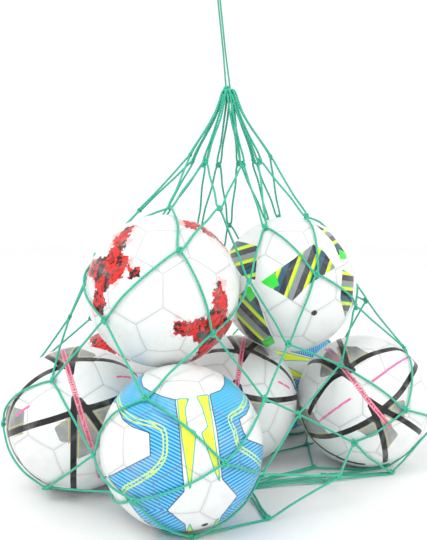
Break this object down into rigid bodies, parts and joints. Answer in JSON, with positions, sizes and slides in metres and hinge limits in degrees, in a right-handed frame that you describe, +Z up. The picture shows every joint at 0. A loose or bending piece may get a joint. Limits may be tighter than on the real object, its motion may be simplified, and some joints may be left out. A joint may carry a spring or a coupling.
{
  "type": "mesh ball bag",
  "caption": "Knotted cord net bag full of footballs, standing on the floor with its mouth drawn up tight by a two-strand drawcord that ends in a knot and hanging loop.",
  "frame": {"origin": "middle of the footprint of the filled bag, on the floor it stands on", "axes": "+Z up; +Y away from the front of the bag; +X to the right as seen from the front"},
  "size_m": [0.7011, 0.6764, 0.8371],
  "materials": {
    "panels_blue": "glossy coated panels",
    "panels_grey": "glossy coated panels",
    "panels_red": "satin coated panels",
    "panels_striped": "satin coated panels",
    "bladder": "matt",
    "valve": "matt",
    "net_cord": "twisted polyethylene twine",
    "drawcord": "twisted polyethylene twine"
  },
  "bodies": {
    "net": {"net_row_01": "net_cord", "net_row_02": "net_cord", "net_row_03": "net_cord", "net_row_04": "net_cord", "net_row_05": "net_cord", "net_row_06": "net_cord", "net_row_07": "net_cord", "net_row_08": "net_cord", "net_row_09": "net_cord", "net_row_10": "net_cord", "mouth_ring": "net_cord", "bottom_tie": "net_cord"},
    "ball_front": {"ball_front_casing": "panels_blue", "ball_front_bladder": "bladder", "ball_front_valve": "valve"},
    "ball_left": {"ball_left_casing": "panels_grey", "ball_left_bladder": "bladder", "ball_left_valve": "valve"},
    "ball_right": {"ball_right_casing": "panels_grey", "ball_right_bladder": "bladder", "ball_right_valve": "valve"},
    "ball_middle": {"ball_middle_casing": "panels_grey", "ball_middle_bladder": "bladder", "ball_middle_valve": "valve"},
    "ball_back_left": {"ball_back_left_casing": "panels_red", "ball_back_left_bladder": "bladder", "ball_back_left_valve": "valve"},
    "ball_back_right": {"ball_back_right_casing": "panels_blue", "ball_back_right_bladder": "bladder", "ball_back_right_valve": "valve"},
    "ball_upper_left": {"ball_upper_left_casing": "panels_red", "ball_upper_left_bladder": "bladder", "ball_upper_left_valve": "valve"},
    "ball_upper_right": {"ball_upper_right_casing": "panels_striped", "ball_upper_right_bladder": "bladder", "ball_upper_right_valve": "valve"},
    "drawcord": {"drawcord_left": "drawcord", "drawcord_right": "drawcord", "drawcord_knot": "drawcord", "drawcord_loop": "drawcord"}
  },
  "joints": [
    {"name": "ball_front_roll", "type": "hinge", "parent": "net", "child": "ball_front", "pos_m": [-0.0675, -0.224, 0.109], "axis": [0, 0, 1], "continuous": true},
    {"name": "ball_left_roll", "type": "hinge", "parent": "net", "child": "ball_left", "pos_m": [-0.2325, -0.078, 0.109], "axis": [0, 0, 1], "continuous": true},
    {"name": "ball_right_roll", "type": "hinge", "parent": "net", "child": "ball_right", "pos_m": [0.228, 0.031, 0.109], "axis": [0, 0, 1], "continuous": true},
    {"name": "ball_middle_roll", "type": "hinge", "parent": "net", "child": "ball_middle", "pos_m": [0.0075, 0.035, 0.109], "axis": [0, 0, 1], "continuous": true},
    {"name": "ball_back_left_roll", "type": "hinge", "parent": "net", "child": "ball_back_left", "pos_m": [-0.1875, 0.139, 0.109], "axis": [0, 0, 1], "continuous": true},
    {"name": "ball_back_right_roll", "type": "hinge", "parent": "net", "child": "ball_back_right", "pos_m": [0.1185, 0.227, 0.109], "axis": [0, 0, 1], "continuous": true},
    {"name": "ball_upper_left_roll", "type": "hinge", "parent": "net", "child": "ball_upper_left", "pos_m": [-0.0975, -0.142, 0.3115], "axis": [1, 0, 0], "continuous": true},
    {"name": "ball_upper_right_roll", "type": "hinge", "parent": "net", "child": "ball_upper_right", "pos_m": [0.0975, -0.002, 0.3095], "axis": [1, 0, 0], "continuous": true},
    {"name": "drawcord_pull", "type": "slide", "parent": "net", "child": "drawcord", "axis": [-0.1044, 0, 0.9945], "range_m": [-0.04, 0]}
  ]
}
